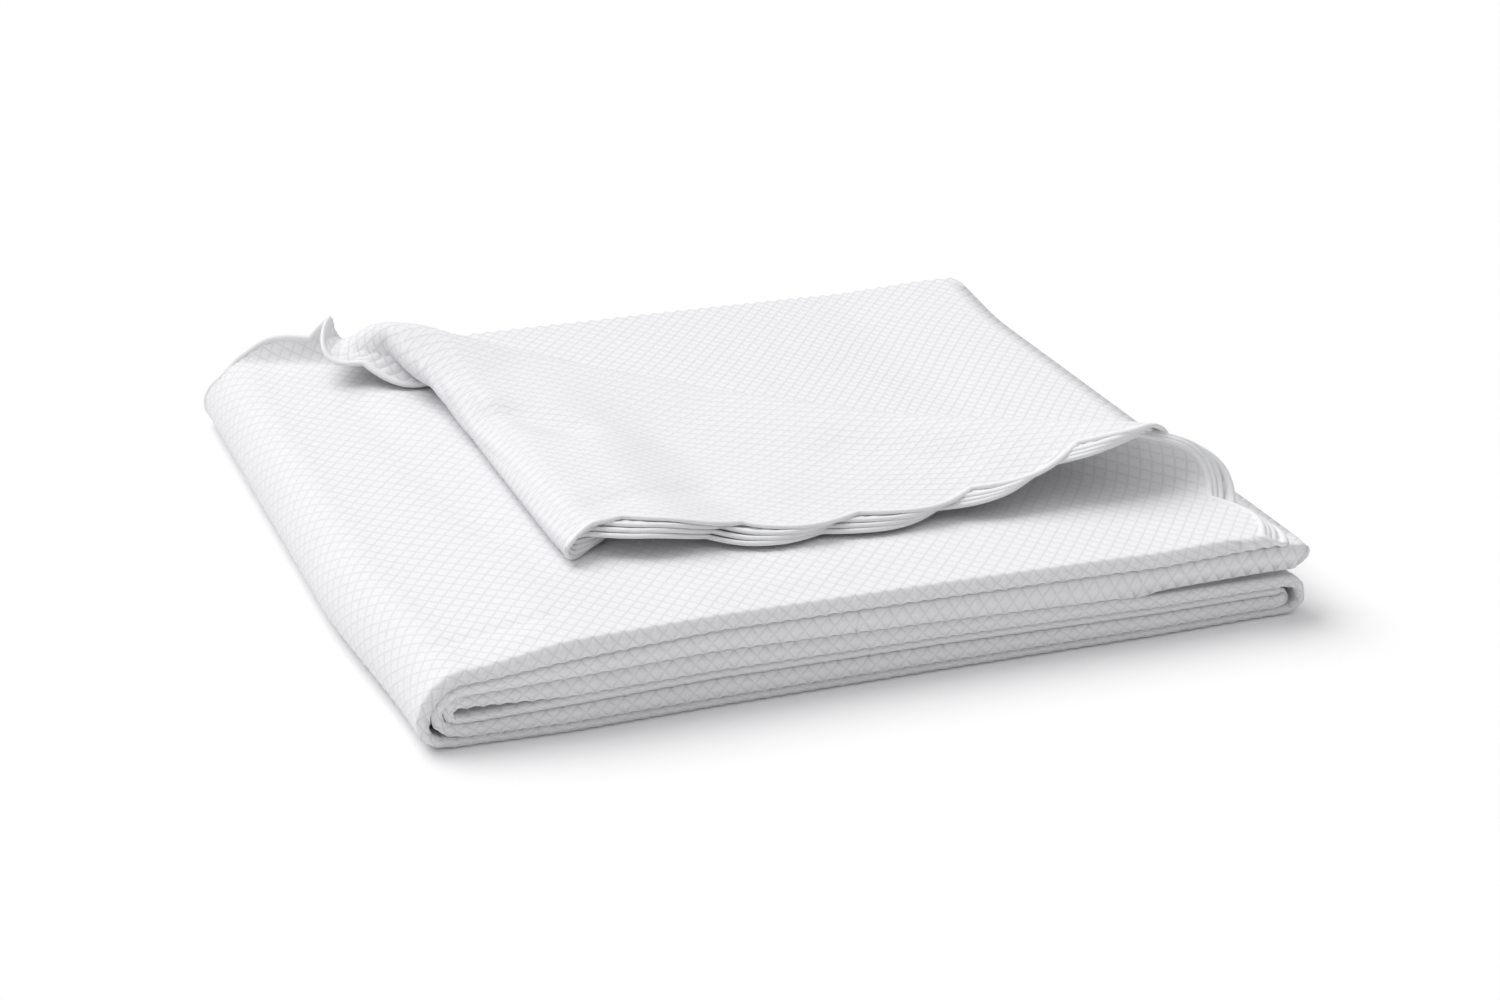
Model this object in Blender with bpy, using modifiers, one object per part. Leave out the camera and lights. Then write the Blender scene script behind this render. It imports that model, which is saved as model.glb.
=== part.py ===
"""A white cotton bed coverlet with scalloped edges, folded into a packet.

The coverlet is one sheet. It is folded in four across its width, the strip of four
layers is folded in half and then in three along its length, and the back right
corner of the top band is turned over towards the front left.

Metres, +Z up. X runs along the front folds, Y to the back. The origin is under the
middle of the packet, on the surface that it rests on.
"""

import math

import bmesh
import bpy
import numpy as np

MM = 0.001

# The cloth
SHEET = 1.0 * MM
LAYER_PITCH = 2.05 * MM
LAYER_GAP = 0.35 * MM
SCALLOP_PITCH = 50.0 * MM
SCALLOP_DEPTH = 9.0 * MM

# The packet, measured from its front left corner
LENGTH = 405.0 * MM
DEPTH = 425.0 * MM
JOINED_DEPTH = 419.0 * MM
LEFT_SWELL = 14.0 * MM
LEFT_SWELL_DEPTH = 90.0 * MM
LEFT_SWELL_REACH = 190.0 * MM
FRONT_REACH = 90.0 * MM

# The height that each band of four layers takes, from the bottom, at stations along X
STATION_X = (0.020, 0.060, 0.130, 0.240, 0.350, 0.395)
BAND_PITCH_MM = {
    # band: at each station of STATION_X
    "bottom": (5.00, 6.00, 5.50, 5.50, 5.50, 5.50),
    "fifth": (5.00, 7.00, 8.20, 7.40, 6.40, 6.20),
    "fourth": (5.00, 5.40, 5.30, 5.20, 5.10, 5.10),
    "third": (5.00, 8.40, 8.60, 7.60, 6.50, 6.20),
    "tuck": (0.00, 0.00, 0.00, 0.00, 5.90, 6.10),
    "second": (5.00, 8.60, 9.80, 11.3, 6.20, 6.10),
    "top": (5.20, 9.20, 7.40, 7.30, 7.30, 7.30),
}
TUCK_FROM_X = 0.335

# How far the front folds of some bands stand back from the others
SETBACK_MM = {"tuck": 8.0, "fourth": 2.2, "third": 0.6, "fifth": 0.8, "bottom": 1.0}

# Where the strip turns: the bands that a fold joins, and the middle of its turn
FOLDS = (
    # first band, second band, X of the turn, how far it bulges for its half height
    ("top", "bottom", 0.0160, 1.00),
    ("bottom", "third", 0.3900, 1.00),
    ("third", "fourth", 0.0230, 1.00),
    ("fourth", "fifth", 0.3880, 1.00),
    ("fifth", "second", 0.0195, 1.00),
    ("second", "tuck", 0.3960, 1.00),
)

# The turned corner: a roll across the diagonal, then a flap that lies on the top band
CORNER_NORMAL = (math.sqrt(0.5), math.sqrt(0.5))
CORNER_START = 0.3290
CORNER_BOW = 0.0140
CORNER_HALF = 0.220
ROLL_RADIUS = {"left": 0.0165, "middle": 0.0085, "right": 0.0150}
REST_RADIUS = {"edge": 0.0082, "middle": 0.0050}
SETTLE_LENGTH = 0.090

# The back edge of the top band, turned up and over before the corner is turned
HEM_TURN = 28.0 * MM
HEM_TURN_RADIUS = 4.2 * MM
HEM_TURN_FROM_X = 0.016
HEM_TURN_FULL_X = 0.080

# How finely the sheet is cut up before it is folded
FLAT_STEP = 0.100
TOP_LINES = (0.040, 0.085)
TURN_STEPS = 6
NEST_STEPS = 4
SCALLOP_STEPS = 5
ROLL_STEPS = 7


def smooth(value):
    """A soft step from 0 to 1."""
    value = np.clip(value, 0.0, 1.0)
    return value * value * (3.0 - 2.0 * value)


def band_level(band, x):
    """The height of the middle of a band, and its layers' pitch as a share of LAYER_PITCH."""
    base = 0.0
    for name, pitches in BAND_PITCH_MM.items():
        pitch = np.interp(x, STATION_X, pitches) * MM
        if name == band:
            share = (pitch - SHEET - LAYER_GAP) / (3.0 * LAYER_PITCH)
            return base + pitch / 2.0, share
        base = base + pitch


def strip_path():
    """The line that the strip's middle follows through its bands and folds.

    The rows are length along the strip, x, z, the layers' share of their pitch and the
    front fold's setback. The strip starts at the right end of the top band.
    """
    points = []

    def setback(band):
        return SETBACK_MM.get(band, 0.0) * MM

    def run(band, x_from, x_to):
        lines = STATION_X + TOP_LINES if band == "top" else STATION_X
        inside = [x for x in lines if min(x_from, x_to) < x < max(x_from, x_to)]
        stops = [x_from] + sorted(inside, reverse=x_to < x_from) + [x_to]
        for start, end in zip(stops[:-1], stops[1:]):
            count = max(1, math.ceil(abs(end - start) / FLAT_STEP))
            for x in np.linspace(start, end, count + 1):
                level, share = band_level(band, x)
                points.append((x, level, share, setback(band)))

    x_now = LENGTH
    for first, second, x_turn, bulge in FOLDS:
        run(first, x_now, x_turn)
        (low, low_share), (high, high_share) = band_level(first, x_turn), band_level(second, x_turn)
        side = 1.0 if x_turn > LENGTH / 2.0 else -1.0
        for angle in np.linspace(0.0, math.pi, TURN_STEPS + 1)[1:-1]:
            middle = (low + high) / 2.0
            half = (low - high) / 2.0
            across = (1.0 - math.cos(angle)) / 2.0
            points.append((
                x_turn + side * abs(half) * bulge * math.sin(angle),
                middle + half * math.cos(angle),
                low_share + (high_share - low_share) * across,
                setback(first) + (setback(second) - setback(first)) * across,
            ))
        x_now = x_turn
    run("tuck", x_now, TUCK_FROM_X)

    rows = [points[0]]
    for point in points[1:]:
        if math.dist(point[:2], rows[-1][:2]) > 1e-6:
            rows.append(point)
    rows = np.array(rows)
    steps = np.linalg.norm(np.diff(rows[:, :2], axis=0), axis=1)
    return np.column_stack([np.concatenate([[0.0], np.cumsum(steps)]), rows])


PATH = strip_path()


def path_normals():
    """At each row of PATH, the side of the strip that is up in the top band, mitred."""
    ahead = np.diff(PATH[:, 1:3], axis=0)
    ahead /= np.linalg.norm(ahead, axis=1)[:, None]
    before = np.vstack([ahead[:1], ahead])
    after = np.vstack([ahead, ahead[-1:]])
    along = before + after
    along /= np.linalg.norm(along, axis=1)[:, None]
    stretch = 1.0 / np.maximum(0.7, (along * after).sum(axis=1))
    return np.column_stack([along[:, 1], -along[:, 0]]) * stretch[:, None]


NORMALS = path_normals()


def section_stops():
    """The four layers across the strip, from the free top hem back to the other one.

    The rows are length across the cloth, y, and offset from the strip's middle, in
    layer pitches.
    """
    outer, inner = 1.5, 0.5
    nest = outer * LAYER_PITCH + SHEET / 2.0
    turn_line = DEPTH - HEM_TURN
    bend = HEM_TURN_RADIUS * math.pi
    rows = []

    def flat(offset, stops):
        for y in stops:
            rows.append((y, offset))

    def turn(middle_y, middle_offset, radius, side, way, steps):
        for angle in np.linspace(0.0, math.pi, steps + 1)[1:-1]:
            y = middle_y + side * radius * LAYER_PITCH * math.sin(angle)
            rows.append((y, middle_offset + way * radius * math.cos(angle)))

    inside = [LEFT_SWELL_DEPTH, 0.19, 0.29, turn_line]
    inside += [turn_line + bend * share for share in (0.25, 0.5, 0.75)]
    flat(outer, [DEPTH] + inside[::-1] + [nest])
    turn(nest, 0.0, outer, -1.0, 1.0, NEST_STEPS)
    flat(-outer, [nest] + inside + [JOINED_DEPTH])
    turn(JOINED_DEPTH, -1.0, inner, 1.0, -1.0, NEST_STEPS)
    flat(-inner, [JOINED_DEPTH] + inside[::-1] + [nest])
    turn(nest, 0.0, inner, -1.0, -1.0, NEST_STEPS)
    flat(inner, [nest] + inside + [DEPTH])

    rows = np.array(rows)
    steps = np.hypot(np.diff(rows[:, 0]), np.diff(rows[:, 1]) * LAYER_PITCH)
    return np.column_stack([np.concatenate([[0.0], np.cumsum(steps)]), rows])


SECTION = section_stops()


def bend(length, offset, radius, angle):
    """Bends a layer upwards about a line: how far past the line it gets, and how high.

    length is how far past the line the cloth goes, and offset how far above the
    middle layer it lies. Layers keep their length, so the inner ones reach further.
    """
    own = np.maximum(radius - offset, SHEET)
    turned = np.minimum(length / own, angle)
    rest = length - own * turned
    reach = own * np.sin(turned) + rest * np.cos(turned)
    height = radius - own * np.cos(turned) + rest * np.sin(turned)
    bent = length > 0.0
    return np.where(bent, reach, length), np.where(bent, height, offset)


def turn_hem(x, y, offset):
    """Turns the back edge of the top band up, and over where the corner is turned."""
    line = DEPTH - HEM_TURN
    angle = math.pi * smooth((x - HEM_TURN_FROM_X) / (HEM_TURN_FULL_X - HEM_TURN_FROM_X))
    reach, height = bend(y - line, offset, HEM_TURN_RADIUS, np.maximum(angle, 1e-6))
    return line + reach, height


def turn_corner(x, y, offset):
    """Rolls what lies past the diagonal over, and settles the flap on the top band."""
    nx, ny = CORNER_NORMAL
    along = -ny * x + nx * y
    across = nx * x + ny * y
    place = np.clip(along / CORNER_HALF, -1.0, 1.0)
    start = CORNER_START - CORNER_BOW * (1.0 - place * place)
    ends = np.where(place > 0.0, ROLL_RADIUS["left"], ROLL_RADIUS["right"])
    radius = ROLL_RADIUS["middle"] + (ends - ROLL_RADIUS["middle"]) * smooth(np.abs(place))
    past = across - start
    reach, height = bend(past, offset, radius, math.pi)
    across = start + reach
    x, y = nx * across - ny * along, ny * across + nx * along
    over = smooth((past - math.pi * radius) / SETTLE_LENGTH)
    edge = LENGTH - DEPTH + HEM_TURN + 0.080
    near_edge = 1.0 - smooth((x - edge) / 0.060)
    rest = REST_RADIUS["middle"] + (REST_RADIUS["edge"] - REST_RADIUS["middle"]) * near_edge
    return x, y, height - 2.0 * (radius - rest) * over


def scallop(length, total):
    """How far a scalloped hem stands back from its line, at a length along it."""
    count = round(total / SCALLOP_PITCH)
    return SCALLOP_DEPTH * (1.0 - np.abs(np.sin(math.pi * count * length / total)))


def fold(strip, across):
    """Where a point of the flat cloth lies in the folded packet."""
    y = np.interp(across, SECTION[:, 0], SECTION[:, 1])
    layer = np.interp(across, SECTION[:, 0], SECTION[:, 2]) * LAYER_PITCH
    in_top = strip < TOP_END
    share = np.interp(strip, PATH[:, 0], PATH[:, 3])
    offset = layer * share
    y = y + np.interp(strip, PATH[:, 0], PATH[:, 4]) * np.clip(1.0 - y / FRONT_REACH, 0.0, 1.0)
    x = LENGTH - strip
    hem_y, hem_offset = turn_hem(x, y, offset)
    new_x, new_y, new_offset = turn_corner(x, hem_y, hem_offset)
    strip = np.where(in_top, LENGTH - new_x, strip)
    y = np.where(in_top, new_y, y)
    offset = np.where(in_top, new_offset, offset)
    place = np.stack([np.interp(strip, PATH[:, 0], PATH[:, i]) for i in (1, 2)])
    normal = np.stack([np.interp(strip, PATH[:, 0], NORMALS[:, i]) for i in (0, 1)])
    px, pz = place + normal * offset
    px = px - np.minimum(strip, 0.0)
    swell = np.clip(y / LEFT_SWELL_DEPTH, 0.0, 1.0)
    swell = swell * np.clip((LEFT_SWELL_REACH - px) / (LEFT_SWELL_REACH - 0.060), 0.0, 1.0)
    return np.stack([px - LEFT_SWELL * swell, y, pz], axis=1)


TOP_END = LENGTH - FOLDS[0][2]


def crease_corner(bm):
    """Cuts the flat cloth of the top band along the lines of the corner's roll."""
    nx, ny = CORNER_NORMAL
    outer = [i for i in range(len(SECTION) - 1) if abs(SECTION[i + 1, 2] - SECTION[i, 2]) < 1e-9]
    layers = {}
    for i in outer:
        layers.setdefault(SECTION[i, 2], []).append(i)
    for layer, rows in layers.items():
        t_from, t_to = SECTION[rows[0], 0], SECTION[rows[-1] + 1, 0]
        y_from, y_to = SECTION[rows[0], 1], SECTION[rows[-1] + 1, 1]
        way = 1.0 if y_to > y_from else -1.0
        own = ROLL_RADIUS["middle"] + 0.003 - layer * LAYER_PITCH
        for angle in np.linspace(0.0, math.pi, ROLL_STEPS):
            line = CORNER_START - CORNER_BOW + own * angle
            # nx * (LENGTH - s) + ny * (y_from + way * (t - t_from)) = line
            level = line - nx * LENGTH - ny * (y_from - way * t_from)
            normal = (-nx, ny * way, 0.0)
            faces = [
                face for face in bm.faces
                if t_from < face.calc_center_median().y < t_to
                and face.calc_center_median().x < TOP_END
            ]
            geometry = set(faces)
            geometry |= {edge for face in faces for edge in face.edges}
            geometry |= {vert for face in faces for vert in face.verts}
            bmesh.ops.bisect_plane(
                bm, geom=list(geometry), dist=1e-5,
                plane_co=[level * part for part in normal], plane_no=normal,
            )


def split_hem(bm, edge, steps):
    """Splits a hem's edge into equal steps."""
    vert = edge.verts[0]
    for step in range(steps, 1, -1):
        edge, vert = bmesh.utils.edge_split(edge, vert, 1.0 / step)


def scallop_hems(bm):
    """Gives the free hems of the top band their scallops."""
    width = SECTION[-1, 0]
    for edge in [edge for edge in bm.edges if edge.is_boundary]:
        middle = (edge.verts[0].co + edge.verts[1].co) / 2.0
        if middle.x < 1e-6 or middle.x < TOP_END and not 1e-6 < middle.y < width - 1e-6:
            split_hem(bm, edge, max(1, round(edge.calc_length() / SCALLOP_PITCH * SCALLOP_STEPS)))
    for vert in bm.verts:
        s, t, _ = vert.co
        if s < 1e-6:
            vert.co.x = scallop(t, width)
        if s < TOP_END and t < 1e-6:
            vert.co.y = scallop(s, PATH[-1, 0])
        if s < TOP_END and t > width - 1e-6:
            vert.co.y = width - scallop(s, PATH[-1, 0])


def coverlet_mesh():
    """The flat cloth, creased and hemmed, folded to its place."""
    lengths, widths = PATH[:, 0], SECTION[:, 0]
    bm = bmesh.new()
    bmesh.ops.create_grid(bm, x_segments=len(lengths) - 1, y_segments=len(widths) - 1, size=0.5)
    for vert in bm.verts:
        column = round((vert.co.x + 0.5) * (len(lengths) - 1))
        row = round((vert.co.y + 0.5) * (len(widths) - 1))
        vert.co = (lengths[column], widths[row], 0.0)
    crease_corner(bm)
    scallop_hems(bm)
    bmesh.ops.triangulate(bm, faces=bm.faces)
    flat = np.array([vert.co for vert in bm.verts])
    folded = fold(flat[:, 0], flat[:, 1])
    low, high = folded.min(axis=0), folded.max(axis=0)
    folded -= ((low[0] + high[0]) / 2.0, (low[1] + high[1]) / 2.0, low[2] - SHEET / 2.0)
    for vert, place in zip(bm.verts, folded):
        vert.co = place
    mesh = bpy.data.meshes.new("coverlet")
    bm.to_mesh(mesh)
    bm.free()
    return mesh


for old in list(bpy.data.objects):
    bpy.data.objects.remove(old)

parts = bpy.data.collections.new("folded_coverlet")
bpy.context.scene.collection.children.link(parts)

cotton = bpy.data.materials.new("white_cotton")
cotton.use_nodes = True
shader = cotton.node_tree.nodes["Principled BSDF"]
shader.inputs["Base Color"].default_value = (0.86, 0.86, 0.87, 1.0)
shader.inputs["Roughness"].default_value = 0.9

coverlet = bpy.data.objects.new("coverlet", coverlet_mesh())
coverlet.data.materials.append(cotton)
parts.objects.link(coverlet)
wall = coverlet.modifiers.new("cloth", "SOLIDIFY")
wall.thickness = SHEET
wall.offset = 0.0
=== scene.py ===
"""A folded white cotton coverlet with a fine diamond weave and scalloped, stitched edges."""

import math

import bmesh
import bpy
import numpy as np
from mathutils import Matrix, Vector


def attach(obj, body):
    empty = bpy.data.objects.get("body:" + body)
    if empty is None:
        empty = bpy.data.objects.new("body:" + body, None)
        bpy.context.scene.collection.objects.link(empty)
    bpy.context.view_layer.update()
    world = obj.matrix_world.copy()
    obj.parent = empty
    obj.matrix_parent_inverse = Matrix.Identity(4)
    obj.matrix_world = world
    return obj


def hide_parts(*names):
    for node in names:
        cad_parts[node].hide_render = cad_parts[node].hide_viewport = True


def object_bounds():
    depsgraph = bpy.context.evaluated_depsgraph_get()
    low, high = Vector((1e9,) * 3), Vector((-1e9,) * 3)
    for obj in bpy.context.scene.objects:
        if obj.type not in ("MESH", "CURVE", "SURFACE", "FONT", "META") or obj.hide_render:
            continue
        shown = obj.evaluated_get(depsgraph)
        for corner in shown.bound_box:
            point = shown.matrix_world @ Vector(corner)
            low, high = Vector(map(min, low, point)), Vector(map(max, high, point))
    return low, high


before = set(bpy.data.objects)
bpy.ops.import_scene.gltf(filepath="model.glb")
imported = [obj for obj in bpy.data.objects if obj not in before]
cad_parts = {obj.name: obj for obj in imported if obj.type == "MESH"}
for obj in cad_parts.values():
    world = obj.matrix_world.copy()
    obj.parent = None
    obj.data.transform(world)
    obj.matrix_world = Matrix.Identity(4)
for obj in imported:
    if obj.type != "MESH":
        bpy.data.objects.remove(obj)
cad_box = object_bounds()

MM = 0.001

# The folds
# The coverlet is one sheet, folded in four across its width into a strip. The strip is
# folded in half and then in three along its length, which makes six bands of four
# layers, and the back right corner of the top band is turned over to the front left.

SHEET = 1.0 * MM
LAYER_PITCH = 2.05 * MM
LAYER_GAP = 0.35 * MM

LENGTH = 412.0 * MM
DEPTH = 400.0 * MM
JOINED_DEPTH = 394.0 * MM

# Each band's height in mm at each station along the front, from the bottom band up. The
# cavity is the loose space inside the innermost fold.
STATION_EASE = 0.020
STATION_X = (0.020, 0.060, 0.130, 0.240, 0.320, 0.345, 0.395)
BAND_PITCH_MM = {
    "bottom": (5.0, 5.0, 4.6, 4.5, 4.5, 4.5, 4.5),
    "fifth": (5.4, 7.1, 8.4, 7.6, 6.4, 6.0, 5.6),
    "fourth": (4.8, 5.5, 4.9, 4.6, 4.5, 4.5, 4.5),
    "cavity": (3.6, 0.0, 0.0, 0.0, 0.0, 0.0, 0.0),
    "third": (5.4, 8.5, 9.2, 7.6, 6.4, 6.0, 5.4),
    "tuck": (0.0, 0.0, 0.0, 0.0, 0.0, 6.8, 8.0),
    "second": (5.8, 8.6, 10.3, 12.0, 13.6, 7.0, 8.2),
    "top": (6.4, 9.4, 7.3, 7.3, 7.2, 7.2, 6.8),
}
# How far the front and the back stand from their lines in mm, at the same stations.
FRONT_MM = (-5.0, -6.5, -3.5, -1.5, -0.7, -0.5, 1.5)
BACK_MM = (6.0, 1.0, -1.5, -1.0, -1.0, -1.0, 0.0)
SETBACK_MM = {"tuck": 9.0, "fourth": 1.6, "third": 0.4, "fifth": 0.5, "bottom": 0.8}
SETBACK_REACH = 0.090
TUCK_FROM_X = 0.337

# The second band's front droops over the end of the strip, which is tucked in under it.
DROOP = 7.0 * MM
DROOP_FROM_X = (0.318, 0.340)
DROOP_DEPTH = 0.011
DROOP_END = 0.006
DROOP_LEVEL = 0.0295
LEVEL_WEIGHT = 3.0

FOLDS = (
    # first band, second band, X where the turn begins, X of its nose, sag of the nose
    ("top", "bottom", 0.0180, -0.0029, 0.34),
    ("bottom", "third", 0.4110, 0.4200, 0.10),
    ("third", "fourth", 0.0130, 0.0085, 0.00),
    ("fourth", "fifth", 0.4070, 0.4110, 0.00),
    ("fifth", "second", 0.0195, 0.0033, 0.15),
    ("second", "tuck", 0.4130, 0.4215, 0.00),
)
FULLNESS = 0.85
TURN_STEPS = 16

# The packet's left side swells behind its front corner, and its right side draws in.
LEFT_SWELL = 8.5 * MM
LEFT_SWELL_DEPTH = 0.150
LEFT_SWELL_FROM_X = (0.100, 0.010)
RIGHT_Y = (0.000, 0.060, 0.162, 0.330, 0.394)
RIGHT_DRAW_MM = (0.0, 3.5, 11.0, 21.0, 17.0)
RIGHT_DRAW_FROM_X = 0.200
RIGHT_EASE = 0.050

# Near the turned corner the back of the top band is pulled forward. Its hem stands up
# there as a low wall, and is turned in where the corner lies over.
HEM_X = (-0.010, 0.009, 0.053, 0.075, 0.095, 0.115, 0.140, 0.200, 0.350)
HEM_PULL_MM = (0.0, 2.0, 11.0, 14.0, 14.0, 12.0, 10.0, 8.0, 5.0)
HEM_LINE_Y = (0.400, 0.388, 0.356, 0.348, 0.347, 0.347, 0.344, 0.3445, 0.352)
HEM_ANGLE = (0.0, 35.0, 75.0, 88.0, 120.0, 175.0, 180.0, 180.0, 180.0)
HEM_RADIUS_MM = (12.0, 12.0, 14.0, 13.0, 11.0, 8.0, 5.0, 4.2, 4.2)
HEM_EASE = 0.016
HEM_PULL_POWER = 3
WRAP_HEM = 0.030

# The corner is turned over a line whose normal is at CORNER_ANGLE. Its start and the
# roll's radius change along the line, from the right end to the left end.
CORNER_ANGLE = math.radians(47.0)
CORNER_ALONG = (-0.210, -0.170, -0.100, 0.000, 0.100, 0.150, 0.178, 0.195, 0.225)
CORNER_START = (0.3060, 0.3060, 0.2996, 0.2965, 0.2953, 0.2890, 0.2830, 0.2850, 0.3300)
ROLL_RADIUS_MM = (16.5, 13.5, 10.0, 8.5, 10.0, 14.0, 19.0, 19.0, 19.0)
CORNER_EASE = 0.030
STAGGER = 0.75
END_STAGGER = 8.0 * MM
END_STAGGER_REACH = 0.120
REST_RADIUS_MM = {"edge": 8.4, "middle": 4.8}
EDGE_FROM = 0.070
EDGE_REACH = 0.045
SETTLE_LENGTH = 0.090
PULL = 62.0 * MM
PULL_FROM_Y = 0.354
PULL_POWER = 2.6

# The creases and soft rises of the upper layers: the two ends of each one's line in
# metres, then its half width and its height in mm, less than 0 for a trough.
CREASES = (
    # x, y, x, y, half width, height
    (0.009, 0.029, 0.065, 0.027, 4.0, -1.3),
    (0.012, 0.002, 0.055, 0.015, 5.0, 0.8),
    (0.049, 0.308, 0.064, 0.122, 8.0, -2.2),
    (0.099, 0.226, 0.122, 0.192, 10.0, -2.0),
    (0.084, 0.260, 0.099, 0.232, 8.0, 1.2),
    (0.148, 0.165, 0.194, 0.110, 18.0, 1.2),
    (0.243, 0.132, 0.286, 0.101, 16.0, -1.2),
    (0.109, 0.102, 0.160, 0.109, 10.0, -1.0),
    (0.319, 0.291, 0.350, 0.257, 20.0, -1.2),
    (0.183, 0.308, 0.246, 0.271, 14.0, 1.0),
    (-0.005, 0.217, 0.005, 0.102, 14.0, -1.2),
    (0.131, 0.024, 0.193, 0.025, 10.0, 0.8),
)
CREASE_TOP = 50.0 * MM
CREASE_MOST = 1.2

FINE = 1.0 * MM
TINY = 1e-6
BEYOND = 2.0


def smooth(value):
    """A soft step from 0 to 1."""
    value = np.clip(value, 0.0, 1.0)
    return value * value * (3.0 - 2.0 * value)


class Eased:
    """A table read by linear steps with their corners eased."""

    def __init__(self, stations, values, ease):
        low, high = stations[0] - ease, stations[-1] + ease
        self.places = np.linspace(low, high, 1 + math.ceil((high - low) / FINE))
        width = max(3, round(ease / FINE))
        window = np.hanning(width + 2)[1:-1]
        raw = np.interp(self.places, stations, values)
        padded = np.pad(raw, (width // 2, width - 1 - width // 2), mode="edge")
        self.values = np.convolve(padded, window / window.sum(), mode="valid")

    def __call__(self, place):
        return np.interp(place, self.places, self.values)


band_pitch = {
    band: Eased(STATION_X, np.array(pitches) * MM, STATION_EASE)
    for band, pitches in BAND_PITCH_MM.items()
}
front_line = Eased(STATION_X, np.array(FRONT_MM) * MM, STATION_EASE)
back_line = Eased(STATION_X, np.array(BACK_MM) * MM, STATION_EASE)
right_draw = Eased(RIGHT_Y, np.array(RIGHT_DRAW_MM) * MM, RIGHT_EASE)
hem_line = Eased(HEM_X, HEM_LINE_Y, HEM_EASE)
hem_angle = Eased(HEM_X, np.radians(HEM_ANGLE), HEM_EASE)
hem_radius = Eased(HEM_X, np.array(HEM_RADIUS_MM) * MM, HEM_EASE)
hem_pull = Eased(HEM_X, np.array(HEM_PULL_MM) * MM, HEM_EASE)
corner_start = Eased(CORNER_ALONG, CORNER_START, CORNER_EASE)
roll_radius = Eased(CORNER_ALONG, np.array(ROLL_RADIUS_MM) * MM, CORNER_EASE)


def band_level(band, x):
    """The height of the middle of a band, and its layers' pitch as a share of LAYER_PITCH."""
    base = 0.0
    for name, pitch_at in band_pitch.items():
        pitch = pitch_at(x)
        if name == band:
            share = (pitch - SHEET - LAYER_GAP) / (3.0 * LAYER_PITCH)
            return base + pitch / 2.0, share
        base = base + pitch


def strip_path():
    """The line that the strip's middle follows: length, x, z, layers' share, setback."""
    points = []

    def setback(band):
        return SETBACK_MM.get(band, 0.0) * MM

    def run(band, x_from, x_to):
        count = max(2, math.ceil(abs(x_to - x_from) / FINE))
        for x in np.linspace(x_from, x_to, count):
            level, share = band_level(band, x)
            points.append((x, level, share, setback(band)))

    x_now = LENGTH
    for first, second, x_turn, x_nose, sag in FOLDS:
        run(first, x_now, x_turn)
        low, low_share = band_level(first, x_turn)
        high, high_share = band_level(second, x_turn)
        half = (low - high) / 2.0
        steps = max(TURN_STEPS, math.ceil(math.pi * abs(half) / (0.5 * FINE)))
        for angle in np.linspace(0.0, math.pi, steps + 1)[1:-1]:
            across = (1.0 - math.cos(angle)) / 2.0
            out = math.sin(angle) ** FULLNESS
            nose_drop = sag * abs(half) * math.sin(angle) ** 2
            points.append((
                x_turn + (x_nose - x_turn) * out,
                (low + high) / 2.0 + half * math.cos(angle) - nose_drop,
                low_share + (high_share - low_share) * across,
                setback(first) + (setback(second) - setback(first)) * across,
            ))
        x_now = x_turn
    run("tuck", x_now, TUCK_FROM_X)
    rows = [points[0]]
    for point in points[1:]:
        if math.dist(point[:2], rows[-1][:2]) > TINY:
            rows.append(point)
    rows = np.array(rows)
    steps = np.linalg.norm(np.diff(rows[:, :2], axis=0), axis=1)
    return np.column_stack([np.concatenate([[0.0], np.cumsum(steps)]), rows])


PATH = strip_path()
ahead = np.gradient(PATH[:, 1:3], PATH[:, 0], axis=0)
ahead /= np.linalg.norm(ahead, axis=1)[:, None]
NORMALS = np.column_stack([ahead[:, 1], -ahead[:, 0]])
STRIP_LENGTH = PATH[-1, 0]
TOP_END = LENGTH - FOLDS[0][2]

# The second band droops from SECOND_FROM to SECOND_TO, the nose of its last turn.
LAST_TURN_FROM = 2.2
OUT_OF_REACH = 10.0
SECOND_TO = PATH[np.argmax(PATH[:, 1] + OUT_OF_REACH * (PATH[:, 0] > LAST_TURN_FROM)), 0]
from_droop = np.hypot(PATH[:, 1] - DROOP_FROM_X[0], (PATH[:, 2] - DROOP_LEVEL) * LEVEL_WEIGHT)
SECOND_FROM = PATH[np.argmin(from_droop), 0]


def section_stops():
    """The four layers across the strip: length across the cloth, y, offset in pitches."""
    outer, inner = 1.5, 0.5
    nest = outer * LAYER_PITCH + SHEET / 2.0
    rows = []

    def turn(middle_y, middle_offset, radius, side, way):
        for angle in np.linspace(0.0, math.pi, 17):
            y = middle_y + side * radius * LAYER_PITCH * math.sin(angle)
            rows.append((y, middle_offset + way * radius * math.cos(angle)))

    rows.append((DEPTH, outer))
    turn(nest, 0.0, outer, -1.0, 1.0)
    turn(JOINED_DEPTH, -1.0, inner, 1.0, -1.0)
    turn(nest, 0.0, inner, -1.0, -1.0)
    rows.append((DEPTH, inner))
    rows = np.array(rows)
    steps = np.hypot(np.diff(rows[:, 0]), np.diff(rows[:, 1]) * LAYER_PITCH)
    return np.column_stack([np.concatenate([[0.0], np.cumsum(steps)]), rows])


SECTION = section_stops()
CLOTH_WIDTH = SECTION[-1, 0]


def bend(length, offset, radius, angle):
    """Bends a layer upwards about a line: how far past the line it gets, and how high."""
    own = radius - offset
    most = 1.5 * LAYER_PITCH
    taken = np.maximum(radius - STAGGER * np.clip(offset, -most, most), SHEET)
    turned = np.minimum(length / taken, angle)
    rest = length - taken * turned
    reach = own * np.sin(turned) + rest * np.cos(turned)
    height = radius - own * np.cos(turned) + rest * np.sin(turned)
    bent = length > 0.0
    return np.where(bent, reach, length), np.where(bent, height, offset)


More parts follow.
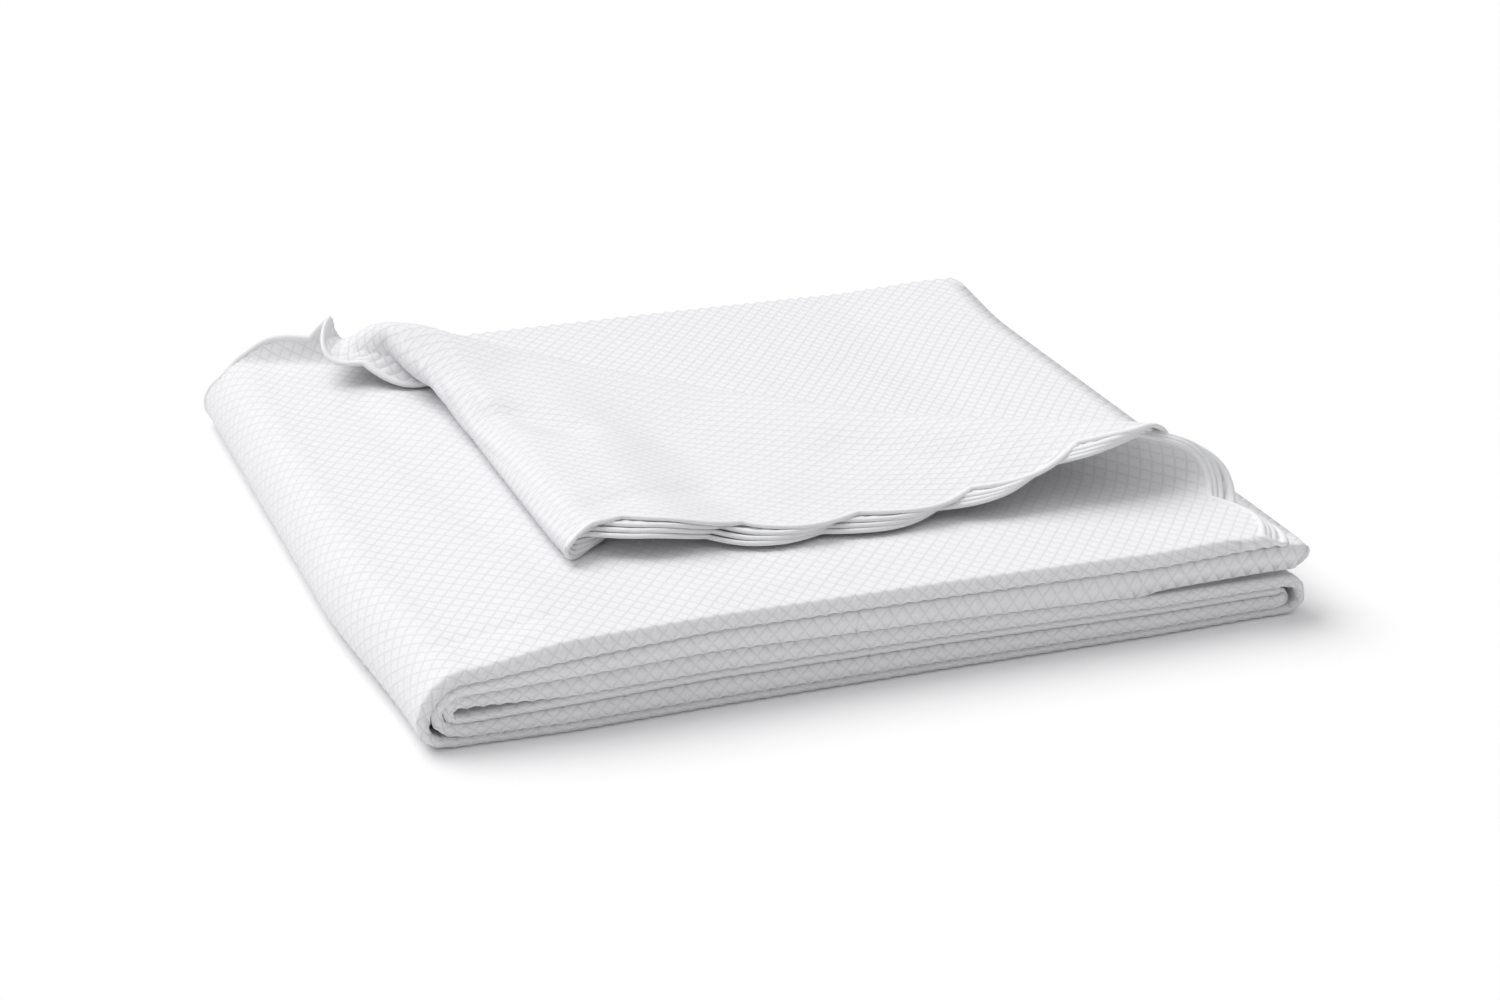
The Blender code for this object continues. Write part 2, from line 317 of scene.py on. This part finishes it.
def turn_hem(x, y, offset):
    """Turns the back edge of the top band up, and over where the corner is turned."""
    line = hem_line(x)
    reach, height = bend(y - line, offset, hem_radius(x), np.maximum(hem_angle(x), TINY))
    return line + reach, height


def turn_corner(x, y, offset, edge):
    """Rolls what lies past the line over, and settles the flap on the top band."""
    nx, ny = math.cos(CORNER_ANGLE), math.sin(CORNER_ANGLE)
    along = -ny * x + nx * y
    across = nx * x + ny * y
    start = corner_start(along)
    radius = roll_radius(along)
    past = across - start
    reach, height = bend(past, offset, radius, math.pi)
    across = start + reach
    x, y = nx * across - ny * along, ny * across + nx * along
    over = smooth((past - math.pi * radius) / SETTLE_LENGTH)
    middle, side = REST_RADIUS_MM["middle"] * MM, REST_RADIUS_MM["edge"] * MM
    rest = middle + (side - middle) * edge
    return x, y, height - 2.0 * (radius - rest) * over


def crease(x, y):
    """The rise of the top layers over a place, from all the creases."""
    rise = np.zeros_like(x)
    for x_from, y_from, x_to, y_to, wide, high in CREASES:
        run = np.array((x_to - x_from, y_to - y_from))
        share = ((x - x_from) * run[0] + (y - y_from) * run[1]) / (run @ run)
        share = np.clip(share, 0.0, 1.0)
        away = np.hypot(x - x_from - share * run[0], y - y_from - share * run[1])
        rise += high * MM * np.exp(-((away / (wide * MM)) ** 2))
    return rise


def fold(strip, across):
    """Where a point of the flat cloth lies in the folded packet."""
    y = np.interp(across, SECTION[:, 0], SECTION[:, 1])
    layer = np.interp(across, SECTION[:, 0], SECTION[:, 2]) * LAYER_PITCH
    flat_y = y
    in_top = strip < TOP_END
    offset = layer * np.interp(strip, PATH[:, 0], PATH[:, 3])
    y = y + np.interp(strip, PATH[:, 0], PATH[:, 4]) * np.clip(1.0 - y / SETBACK_REACH, 0.0, 1.0)
    pull = PULL * np.clip(y / PULL_FROM_Y, 0.0, BEYOND) ** PULL_POWER
    x = LENGTH - strip - pull * np.clip(1.0 - strip / TOP_END, 0.0, BEYOND)
    near_end = np.clip(1.0 - strip / END_STAGGER_REACH, 0.0, 1.0)
    x = x - END_STAGGER * layer / (3.0 * LAYER_PITCH) * near_end
    on_top = strip < TOP_END + WRAP_HEM
    drawn = hem_pull(x) * np.clip(y / DEPTH, 0.0, BEYOND) ** HEM_PULL_POWER
    y = np.where(on_top, y - drawn, y)
    hem_y, hem_offset = turn_hem(x, y, offset)
    edge = smooth((y - hem_line(x) + EDGE_FROM) / EDGE_REACH)
    new_x, new_y, new_offset = turn_corner(x, hem_y, hem_offset, edge)
    strip = np.where(in_top, LENGTH - new_x, strip)
    y = np.where(in_top, new_y, np.where(on_top, hem_y, y))
    offset = np.where(in_top, new_offset, np.where(on_top, hem_offset, offset))
    place = [np.interp(strip, PATH[:, 0], PATH[:, i]) for i in (1, 2)]
    normal = [np.interp(strip, PATH[:, 0], NORMALS[:, i]) for i in (0, 1)]
    px = place[0] + normal[0] * offset - np.minimum(strip, 0.0)
    pz = place[1] + normal[1] * offset
    first_x, full_x = DROOP_FROM_X
    droop = smooth((px - first_x) / (full_x - first_x)) * (1.0 - smooth(flat_y / DROOP_DEPTH))
    under = np.clip(0.5 + layer / (3.0 * LAYER_PITCH), 0.0, 1.0)
    in_droop = (strip > SECOND_FROM) * np.clip((SECOND_TO - strip) / DROOP_END, 0.0, 1.0)
    pz = pz - DROOP * droop * under * in_droop
    y = y + front_line(px) * (1.0 - y / DEPTH) + back_line(px) * y / DEPTH
    swell_from, swell_full = LEFT_SWELL_FROM_X
    swell = smooth(y / LEFT_SWELL_DEPTH) * smooth((swell_from - px) / (swell_from - swell_full))
    draw = right_draw(y) * smooth((px - RIGHT_DRAW_FROM_X) / (LENGTH - RIGHT_DRAW_FROM_X))
    pz = pz + crease(px, y) * np.clip(pz / CREASE_TOP, 0.0, CREASE_MOST) ** 2
    return np.stack([px - LEFT_SWELL * swell - draw, y, pz], axis=1)


NORMAL_STEP = 0.4 * MM


def raised(strip, across, height):
    """A point a height above the cloth, on its face side."""
    step = NORMAL_STEP
    here = fold(strip, across)
    along = fold(strip + step, across) - fold(strip - step, across)
    aside = fold(strip, across + step) - fold(strip, across - step)
    normal = np.cross(aside, along)
    normal /= np.linalg.norm(normal, axis=1)[:, None]
    return here + normal * height[:, None]


# The cloth
# Cotton matelassé: two cotton layers woven together in a fine grid of puffed diamonds.
# The sheet is cut out flat, its edges scalloped, and folded up as above.

DIAMOND_LONG = 7.2 * MM
DIAMOND_WIDE = 9.0 * MM
DIAMOND_RISE = 0.7 * MM
PUFF_POWER = 0.6
SCALLOP_PITCH = 50.0 * MM
SCALLOP_DEPTH = 9.0 * MM
SCALLOP_SHIFT = 41.6 * MM
STITCH_WIDTH = 3.8 * MM
STITCH_RISE = 1.2 * MM
HEM_FINE = 20.0 * MM
FINE_CUTS = 3
HEM_CATCH = 0.55


STRIP_END = math.floor(STRIP_LENGTH / DIAMOND_LONG) * DIAMOND_LONG


def scallop(length, total):
    """How far a scalloped hem stands back from its line, at a length along it."""
    count = round(total / SCALLOP_PITCH)
    return SCALLOP_DEPTH * (1.0 - np.abs(np.sin(math.pi * count * length / total)))


def puff(strip, across):
    """The rise of the weave's diamonds, 0 in the grooves and 1 in the middles."""
    one = strip / DIAMOND_LONG + across / DIAMOND_WIDE
    two = strip / DIAMOND_LONG - across / DIAMOND_WIDE
    near = [np.abs(value - np.round(value)) * 2.0 for value in (one, two)]
    return np.minimum(near[0], near[1]) ** PUFF_POWER


def long_hem(strip):
    """How far the middle of the stitching stands in from either long edge."""
    return scallop(strip + SCALLOP_SHIFT, STRIP_LENGTH) + STITCH_WIDTH / 2.0


def end_hem(across):
    """How far the middle of the stitching stands in from either end."""
    return scallop(across, CLOTH_WIDTH) + STITCH_WIDTH / 2.0


# Which parts of the flat cloth show once it is folded. The offsets are in layers' pitches,
# and the rest is in metres.
OUTER_LAYER = 1.4
INNER_LAYER = 0.6
WRAP_SHOWN = 0.045
PAST_ROLL = 0.050
BEFORE_ROLL = 0.020
SECOND_SHOWN = (-0.420, 0.020)
SECOND_END_X = 0.395
SECOND_LENGTH_FROM = 2.1
SECOND_BEFORE_ROLL = 0.030
DIAGONAL = 0.7071
FRONT_SHOWN = 0.012
BACK_SHOWN = 0.004


def made_finely(strip, across):
    """Whether a part of the flat cloth shows, and so is made finely."""
    y = np.interp(across, SECTION[:, 0], SECTION[:, 1])
    offset = np.interp(across, SECTION[:, 0], SECTION[:, 2])
    x = LENGTH - strip
    roll_start = CORNER_START[3]
    past = math.cos(CORNER_ANGLE) * x + math.sin(CORNER_ANGLE) * y - roll_start
    outer_top = (strip < TOP_END + WRAP_SHOWN) & (offset > OUTER_LAYER) & (past < PAST_ROLL)
    flap_top = (strip < TOP_END) & (offset < -OUTER_LAYER) & (past > -BEFORE_ROLL)
    too_soon = PATH[:, 0] < SECOND_LENGTH_FROM
    from_end = np.abs(PATH[:, 1] - SECOND_END_X) + 1e3 * too_soon
    along = strip - PATH[np.argmin(from_end), 0]
    behind = (offset < -OUTER_LAYER) & (along > SECOND_SHOWN[0]) & (along < SECOND_SHOWN[1])
    diagonal = (np.interp(strip, PATH[:, 0], PATH[:, 1]) + y) * DIAGONAL
    behind &= diagonal > roll_start - SECOND_BEFORE_ROLL
    front = (y < FRONT_SHOWN) & (np.abs(offset) > INNER_LAYER)
    back = y > JOINED_DEPTH - BACK_SHOWN
    hem = (strip < HEM_FINE) | (strip > STRIP_END - HEM_FINE)
    hem |= (across < HEM_FINE) | (across > CLOTH_WIDTH - HEM_FINE)
    return outer_top | flap_top | behind | front | back | hem


def cloth_piece(name, strip_from, strip_to):
    """A stretch of the folded sheet, from one length along the strip to another."""
    bm = bmesh.new()
    columns = round((strip_to - strip_from) / DIAMOND_LONG)
    rows = math.ceil(CLOTH_WIDTH / DIAMOND_WIDE)
    bmesh.ops.create_grid(bm, x_segments=columns, y_segments=rows, size=0.5)
    for vert in bm.verts:
        column = round((vert.co.x + 0.5) * columns)
        row = round((vert.co.y + 0.5) * rows)
        s, t = strip_from + column * DIAMOND_LONG, min(row * DIAMOND_WIDE, CLOTH_WIDTH)
        vert.co = (s, t, 0.0)
    middles = np.array([face.calc_center_median() for face in bm.faces])
    shown = made_finely(middles[:, 0], middles[:, 1])
    edges = {edge for face, yes in zip(bm.faces, shown) if yes for edge in face.edges}
    bmesh.ops.subdivide_edges(bm, edges=list(edges), cuts=FINE_CUTS, use_grid_fill=True)

    # The rows beside a hem are drawn onto it, and what lies beyond is cut away.
    flat = np.array([vert.co for vert in bm.verts])
    s, t = flat[:, 0], flat[:, 1]
    reach_t = HEM_CATCH * DIAMOND_WIDE / (FINE_CUTS + 1)
    reach_s = HEM_CATCH * DIAMOND_LONG / (FINE_CUTS + 1)
    for hem in (long_hem(s), CLOTH_WIDTH - long_hem(s)):
        t = np.where(np.abs(t - hem) < reach_t, hem, t)
    ends = ((end_hem(t), strip_from == 0.0), (STRIP_END - end_hem(t), strip_to == STRIP_END))
    for hem, ends_here in ends:
        s = np.where(ends_here & (np.abs(s - hem) < reach_s), hem, s)
    for vert, place in zip(bm.verts, np.column_stack([s, t, 0.0 * s])):
        vert.co = place
    middles = np.array([face.calc_center_median() for face in bm.faces])
    s, t = middles[:, 0], middles[:, 1]
    outside = (t < long_hem(s)) | (t > CLOTH_WIDTH - long_hem(s))
    outside |= (s < end_hem(t)) | (s > STRIP_END - end_hem(t))
    away = [face for face, out in zip(bm.faces, outside) if out]
    bmesh.ops.delete(bm, geom=away, context="FACES")
    bmesh.ops.triangulate(bm, faces=bm.faces)
    uv = bm.loops.layers.uv.new("cloth")
    for face in bm.faces:
        face.smooth = True
        for loop in face.loops:
            loop[uv].uv = loop.vert.co.xy
    for edge in bm.edges:
        if edge.is_boundary:
            edge.smooth = False
    flat = np.array([vert.co for vert in bm.verts])
    s, t = flat[:, 0], flat[:, 1]
    for vert, place in zip(bm.verts, raised(s, t, DIAMOND_RISE * (puff(s, t) - 0.5))):
        vert.co = place
    return to_object(name, bm)


def to_object(name, bm):
    """Puts a finished bmesh in the scene."""
    mesh = bpy.data.meshes.new(name)
    bm.to_mesh(mesh)
    bm.free()
    piece = bpy.data.objects.new(name, mesh)
    bpy.context.scene.collection.objects.link(piece)
    return piece


EDGING_STEP = 2.2 * MM
EDGING_SIDES = 8


def stitching(name, strip_from, strip_to):
    """The satin stitching along the hems of one stretch of the sheet."""
    s = np.linspace(strip_from, strip_to, math.ceil((strip_to - strip_from) / EDGING_STEP))
    lines = [
        np.column_stack([s, long_hem(s)]),
        np.column_stack([s, CLOTH_WIDTH - long_hem(s)]),
    ]
    t = np.linspace(0.0, CLOTH_WIDTH, math.ceil(CLOTH_WIDTH / EDGING_STEP))
    if strip_from == 0.0:
        lines.append(np.column_stack([end_hem(t), t]))
    if strip_to == STRIP_END:
        lines.append(np.column_stack([STRIP_END - end_hem(t), t]))
    bm = bmesh.new()
    uv = bm.loops.layers.uv.new("cloth")
    for line in lines:
        s, t = line[:, 0], line[:, 1]
        inside = (t > long_hem(s) - TINY) & (t < CLOTH_WIDTH - long_hem(s) + TINY)
        inside &= (s > end_hem(t) - TINY) & (s < STRIP_END - end_hem(t) + TINY)
        line = line[inside]
        ahead = np.gradient(line, axis=0)
        ahead /= np.linalg.norm(ahead, axis=1)[:, None]
        steps = np.linalg.norm(np.diff(line, axis=0), axis=1)
        run = np.concatenate([[0.0], np.cumsum(steps)])
        rings = []
        for turn in range(EDGING_SIDES):
            angle = 2.0 * math.pi * turn / EDGING_SIDES
            out = STITCH_WIDTH / 2.0 * math.cos(angle)
            rise = np.full(len(line), STITCH_RISE * math.sin(angle))
            beside = line + np.column_stack([-ahead[:, 1], ahead[:, 0]]) * out
            rings.append(raised(beside[:, 0], beside[:, 1], rise))
        rings = np.stack(rings, axis=1)
        verts = [[bm.verts.new(point) for point in ring] for ring in rings]
        for i, (here, there) in enumerate(zip(verts[:-1], verts[1:])):
            for turn in range(EDGING_SIDES):
                after = (turn + 1) % EDGING_SIDES
                face = bm.faces.new((here[turn], there[turn], there[after], here[after]))
                face.smooth = True
                for loop, length in zip(face.loops, (run[i], run[i + 1], run[i + 1], run[i])):
                    loop[uv].uv = (length, turn / EDGING_SIDES)
        bm.faces.new(verts[0])
        bm.faces.new(reversed(verts[-1]))
    bmesh.ops.recalc_face_normals(bm, faces=bm.faces)
    return to_object(name, bm)


# The sheet is made in four pieces along the strip, which meet edge to edge.
JOIN_NEAR = 0.25
JOINS = (
    # x of the join, and the nearest length along the strip
    (0.20, 0.60),
    (0.20, 1.45),
    (0.20, 2.15),
)
turn_strips = [0.0]
for x_join, near in JOINS:
    elsewhere = np.abs(PATH[:, 0] - near) > JOIN_NEAR
    close = np.abs(PATH[:, 1] - x_join) + OUT_OF_REACH * elsewhere
    turn_strips.append(round(PATH[np.argmin(close), 0] / DIAMOND_LONG) * DIAMOND_LONG)
turn_strips.append(STRIP_END)

cloths = []
edgings = []
for number, (start, end) in enumerate(zip(turn_strips[:-1], turn_strips[1:]), 1):
    cloths.append(cloth_piece(f"coverlet_{number}", start, end))
    edgings.append(stitching(f"coverlet_edging_{number}", start, end))

# White cotton: the grooves of the weave are pressed in, and painted shade darkens the base
# colour along them, over a fine thread grain.
GROOVE_DEPTH = 0.55 * MM
GROOVE_POWER = 0.45
GROOVE_SHADE_WIDTH = 0.14
GRAIN_SCALE = 1400.0
GRAIN_SHARE = 0.22
COTTON_COLOUR = (0.875, 0.872, 0.885, 1.0)
# The darker groove colour below is painted shade, not a colour of the cloth.
GROOVE_PAINTED_SHADE_COLOUR = (0.790, 0.790, 0.805, 1.0)

cotton = bpy.data.materials.new("white_cotton_cloth")
cotton.use_nodes = True
nodes, links = cotton.node_tree.nodes, cotton.node_tree.links
shader = nodes["Principled BSDF"]
shader.inputs["Roughness"].default_value = 0.85
shader.inputs["Specular IOR Level"].default_value = 0.25
shader.inputs["Sheen Weight"].default_value = 0.15


def flat_cloth(nodes, links):
    """The place on the flat cloth in metres, whole and in its parts."""
    place = nodes.new("ShaderNodeUVMap")
    place.uv_map = "cloth"
    parts = nodes.new("ShaderNodeSeparateXYZ")
    links.new(place.outputs["UV"], parts.inputs["Vector"])
    return place.outputs["UV"], parts.outputs["X"], parts.outputs["Y"]


def worked_out(nodes, links, kind, first, second):
    """A math node fed by two values, each a number or a socket."""
    node = nodes.new("ShaderNodeMath")
    node.operation = kind
    for socket, value in zip(node.inputs, (first, second)):
        if isinstance(value, float):
            socket.default_value = value
        else:
            links.new(value, socket)
    return node.outputs["Value"]


place, along, aside = flat_cloth(nodes, links)
along = worked_out(nodes, links, "DIVIDE", along, DIAMOND_LONG)
aside = worked_out(nodes, links, "DIVIDE", aside, DIAMOND_WIDE)
nearest = []
for way in ("ADD", "SUBTRACT"):
    groove = worked_out(nodes, links, way, along, aside)
    nearest.append(worked_out(nodes, links, "PINGPONG", groove, 0.5))
from_groove = worked_out(nodes, links, "MINIMUM", nearest[0], nearest[1])
puffed = worked_out(nodes, links, "POWER", from_groove, GROOVE_POWER)
grain = nodes.new("ShaderNodeTexNoise")
grain.inputs["Scale"].default_value = GRAIN_SCALE
grain.inputs["Detail"].default_value = 1.0
links.new(place, grain.inputs["Vector"])
grain_height = worked_out(nodes, links, "MULTIPLY", grain.outputs["Fac"], GRAIN_SHARE)
height = worked_out(nodes, links, "ADD", puffed, grain_height)
bump = nodes.new("ShaderNodeBump")
bump.inputs["Strength"].default_value = 0.8
bump.inputs["Distance"].default_value = GROOVE_DEPTH
links.new(height, bump.inputs["Height"])
links.new(bump.outputs["Normal"], shader.inputs["Normal"])
# Painted shade: the base colour is darkened within a narrow band along each groove of the weave.
shade = nodes.new("ShaderNodeMapRange")
shade.inputs["From Max"].default_value = GROOVE_SHADE_WIDTH
links.new(from_groove, shade.inputs["Value"])
groove_shade_mix = nodes.new("ShaderNodeMix")
groove_shade_mix.data_type = "RGBA"
groove_shade_mix.inputs["A"].default_value = GROOVE_PAINTED_SHADE_COLOUR
groove_shade_mix.inputs["B"].default_value = COTTON_COLOUR
links.new(shade.outputs["Result"], groove_shade_mix.inputs["Factor"])
links.new(groove_shade_mix.outputs["Result"], shader.inputs["Base Color"])

# Glossier cotton thread is laid side by side across the edge.
THREAD_PITCH = 0.7 * MM
THREAD_DEPTH = 0.25 * MM

thread = bpy.data.materials.new("white_satin_stitch")
thread.use_nodes = True
nodes, links = thread.node_tree.nodes, thread.node_tree.links
shader = nodes["Principled BSDF"]
shader.inputs["Base Color"].default_value = (0.90, 0.90, 0.905, 1.0)
shader.inputs["Roughness"].default_value = 0.6
place, along, aside = flat_cloth(nodes, links)
threads = worked_out(nodes, links, "DIVIDE", along, THREAD_PITCH)
bump = nodes.new("ShaderNodeBump")
bump.inputs["Strength"].default_value = 0.7
bump.inputs["Distance"].default_value = THREAD_DEPTH
links.new(worked_out(nodes, links, "PINGPONG", threads, 0.5), bump.inputs["Height"])
links.new(bump.outputs["Normal"], shader.inputs["Normal"])

# The whole is moved to the middle of the solid's box, and stands on its base.
every = np.vstack([np.array([v.co for v in piece.data.vertices]) for piece in cloths])
middle = (every.min(axis=0) + every.max(axis=0)) / 2.0
box_low, box_high = (np.array(corner) for corner in cad_box)
shift = (box_low + box_high) / 2.0 - middle
shift[2] = box_low[2] - every[:, 2].min() + SHEET / 2.0
for piece, edging, start, end in zip(cloths, edgings, turn_strips[:-1], turn_strips[1:]):
    piece.data.materials.append(cotton)
    edging.data.materials.append(thread)
    wall = piece.modifiers.new("cloth", "SOLIDIFY")
    wall.thickness = SHEET
    wall.offset = 0.0
    for made in (piece, edging):
        made.data.transform(Matrix.Translation(Vector(shift)))
        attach(made, "root")
        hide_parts("coverlet")

# The camera stands at the photograph's angle, with a long lens.
CAMERA_PLACE = (-0.3558, -1.4419, 0.7490)
CAMERA_TURN = -19.2
CAMERA_DIP = 23.1
PHOTO_FOCAL = 3830.0
PHOTO_WIDE = 1500.0

camera = bpy.data.objects.new("camera", bpy.data.cameras.new("camera"))
bpy.context.scene.collection.objects.link(camera)
camera.location = Vector(CAMERA_PLACE) + Vector((shift[0], shift[1], 0.0))
camera.rotation_euler = (math.radians(90.0 - CAMERA_DIP), 0.0, math.radians(CAMERA_TURN))
camera.data.lens = PHOTO_FOCAL / PHOTO_WIDE * camera.data.sensor_width
bpy.context.scene.camera = camera

# The floor is plain white.
FLOOR_SIZE = 30.0
FLOOR_BELOW = 0.2 * MM

bpy.ops.mesh.primitive_plane_add(size=FLOOR_SIZE, location=(0.0, 0.0, box_low[2] - FLOOR_BELOW))
floor = bpy.context.object
floor.name = "floor"
paper = bpy.data.materials.new("white_floor")
paper.use_nodes = True
shader = paper.node_tree.nodes["Principled BSDF"]
shader.inputs["Base Color"].default_value = (0.95, 0.95, 0.95, 1.0)
shader.inputs["Roughness"].default_value = 1.0
floor.data.materials.append(paper)

# The sky is brightest overhead and dim near the horizon.
SKY_LOW = 0.30
SKY_RISE = 0.55
SKY_POWER = 2.0

world = bpy.data.worlds.new("studio")
bpy.context.scene.world = world
world.use_nodes = True
nodes, links = world.node_tree.nodes, world.node_tree.links
sky = nodes["Background"]
sky.inputs["Color"].default_value = (0.985, 0.985, 1.0, 1.0)
toward = nodes.new("ShaderNodeTexCoord")
parts = nodes.new("ShaderNodeSeparateXYZ")
links.new(toward.outputs["Generated"], parts.inputs["Vector"])
upward = worked_out(nodes, links, "MAXIMUM", parts.outputs["Z"], 0.0)
upward = worked_out(nodes, links, "POWER", upward, SKY_POWER)
upward = worked_out(nodes, links, "MULTIPLY", upward, SKY_RISE)
links.new(worked_out(nodes, links, "ADD", upward, SKY_LOW), sky.inputs["Strength"])

# A wide, distant key light stands at the back left.
KEY_FROM = (-0.45, 0.55, 1.0)
KEY_ANGLE = math.radians(50.0)
KEY_STRENGTH = 1.9

key = bpy.data.objects.new("key", bpy.data.lights.new("key", "SUN"))
bpy.context.scene.collection.objects.link(key)
key.rotation_euler = (-Vector(KEY_FROM)).to_track_quat("-Z", "Y").to_euler()
key.data.angle = KEY_ANGLE
key.data.energy = KEY_STRENGTH

bpy.context.scene.view_settings.view_transform = "Standard"
